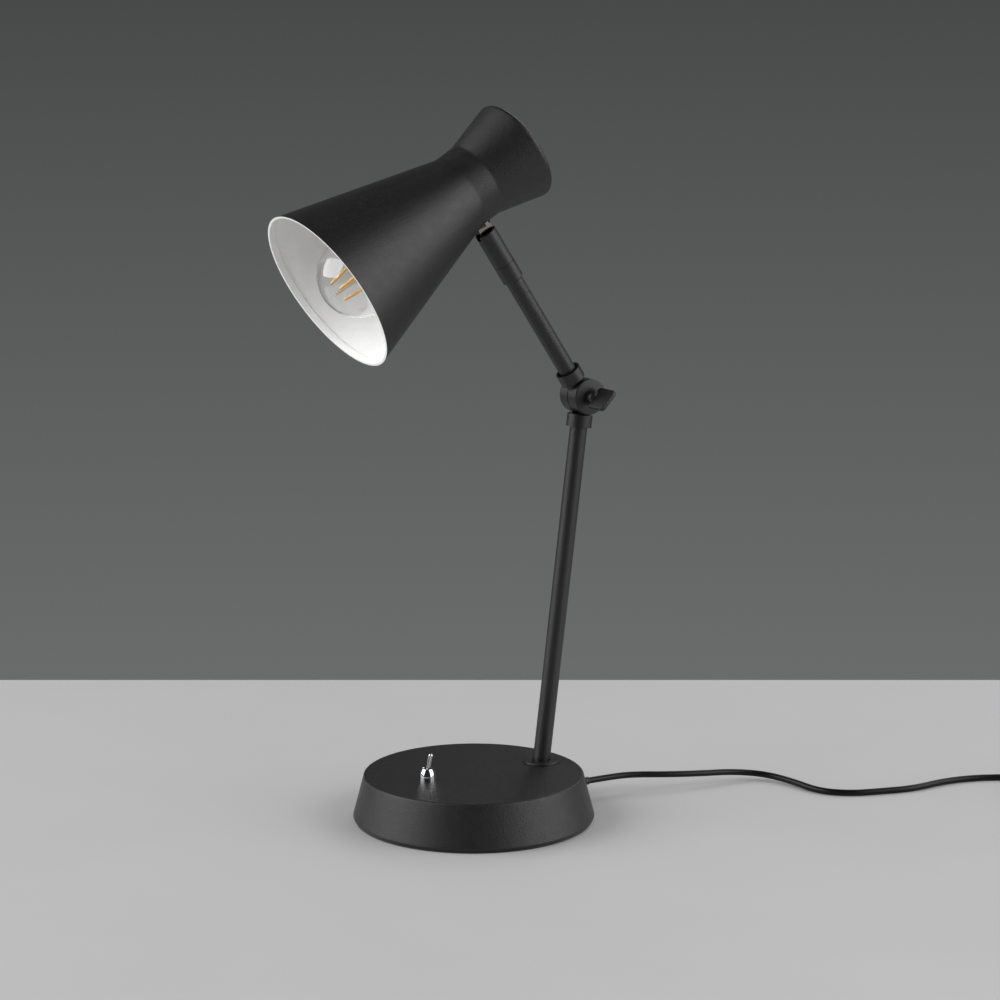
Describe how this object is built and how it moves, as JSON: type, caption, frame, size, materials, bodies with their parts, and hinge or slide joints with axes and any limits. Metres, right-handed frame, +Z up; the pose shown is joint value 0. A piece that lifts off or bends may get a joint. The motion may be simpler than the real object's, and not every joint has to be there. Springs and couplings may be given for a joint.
{
  "type": "desk lamp",
  "caption": "Desk lamp with a round weighted base, toggle switch, leaning pole, wing-screw elbow, short upper arm, swivelling fork and a waisted metal shade round a clear filament bulb.",
  "frame": {"origin": "middle of the base's flat underside, on the table", "axes": "+Z up; the pole, upper arm and shade stand in the XZ plane, the shade's mouth towards -X, the pole's foot and the mains cord on the +X side"},
  "size_m": [0.6347, 0.391, 0.5247],
  "materials": {
    "black_enamel": "smooth satin-gloss black powder coat",
    "shade_enamel": "satin-gloss black outside, off-white reflector paint inside",
    "satin_black": "satin black enamel on cast metal",
    "chrome": "polished chrome plate",
    "zinc_steel": "bright zinc-plated steel",
    "cast_iron": "rough cast iron, bare",
    "felt": "thin black felt pad",
    "black_plastic": "moulded black plastic, fine satin",
    "brass": "plain drawn brass",
    "cord_plastic": "smooth black flexible PVC",
    "core_plastic": "smooth insulation of single cores, blue and brown",
    "clear_glass": "clear blown glass",
    "cap_metal": "bright nickel-coloured cap metal",
    "black_glass": "black fused insulator",
    "filament": "yellow-orange coated filament sticks, unlit"
  },
  "bodies": {
    "head": {"shade": "shade_enamel", "shade_tab": "chrome", "saddle_washer": "zinc_steel", "stem_nut": "zinc_steel", "holder_strip": "zinc_steel", "holder_nipple": "zinc_steel", "holder_nuts": "zinc_steel", "holder_body": "black_plastic", "holder_thread": "brass", "holder_contact": "brass", "bulb_glass": "clear_glass", "bulb_stem": "clear_glass", "bulb_cap": "cap_metal", "bulb_insulator": "black_glass", "bulb_contact": "cap_metal", "bulb_filaments": "filament", "bulb_wires": "cap_metal", "head_leads": "core_plastic"},
    "fork": {"fork": "satin_black", "pivot_screw": "satin_black", "pivot_nut": "zinc_steel", "swivel_clip": "zinc_steel"},
    "arm": {"upper_knuckle": "satin_black", "upper_tube": "black_enamel", "arm_sleeve": "satin_black", "swivel_journal": "zinc_steel", "arm_leads": "core_plastic", "wing_washer": "satin_black"},
    "wing_screw": {"wing_screw": "satin_black"},
    "switch_lever": {"switch_lever": "chrome"},
    "base": {"base_leads": "core_plastic", "base_pad": "felt", "base_plate": "zinc_steel", "base_shell": "black_enamel", "base_weight": "cast_iron", "clamp_screws": "zinc_steel", "coil_tie": "black_plastic", "cord_clamp": "black_plastic", "cord_coil": "cord_plastic", "cord_gland": "black_plastic", "cord_run": "cord_plastic", "cord_tail": "cord_plastic", "foot_nipple": "zinc_steel", "foot_nut": "zinc_steel", "foot_rosette": "black_enamel", "foot_washer": "zinc_steel", "friction_disc": "black_plastic", "knuckle_nut": "zinc_steel", "lower_knuckle": "satin_black", "lower_tube": "black_enamel", "mains_lead": "cord_plastic", "plate_screws": "zinc_steel", "plug_body": "black_plastic", "plug_pins": "brass", "switch_body": "black_plastic", "switch_bush": "chrome", "switch_dome_nut": "chrome", "switch_jam_nut": "zinc_steel", "switch_terminals": "brass", "terminal_block": "black_plastic"}
  },
  "joints": [
    {"name": "elbow", "type": "hinge", "parent": "base", "child": "arm", "pos_m": [0.09387, 0, 0.31051], "axis": [0, -1, 0], "range_deg": [-70, 59]},
    {"name": "wing_screw_turn", "type": "hinge", "parent": "arm", "child": "wing_screw", "pos_m": [0.09387, 0, 0.31051], "axis": [0, 1, 0], "range_deg": [0, 180]},
    {"name": "fork_swivel", "type": "hinge", "parent": "arm", "child": "fork", "pos_m": [0.02589, 0, 0.41205], "axis": [-0.5563, 0, 0.831], "range_deg": [-165, 165]},
    {"name": "shade_tilt", "type": "hinge", "parent": "fork", "child": "head", "pos_m": [0.01309, 0, 0.43117], "axis": [0, -1, 0], "range_deg": [-60, 16]},
    {"name": "switch", "type": "hinge", "parent": "base", "child": "switch_lever", "pos_m": [-0.0394, 0, 0.0399], "axis": [0, -1, 0], "range_deg": [0, 24]}
  ]
}
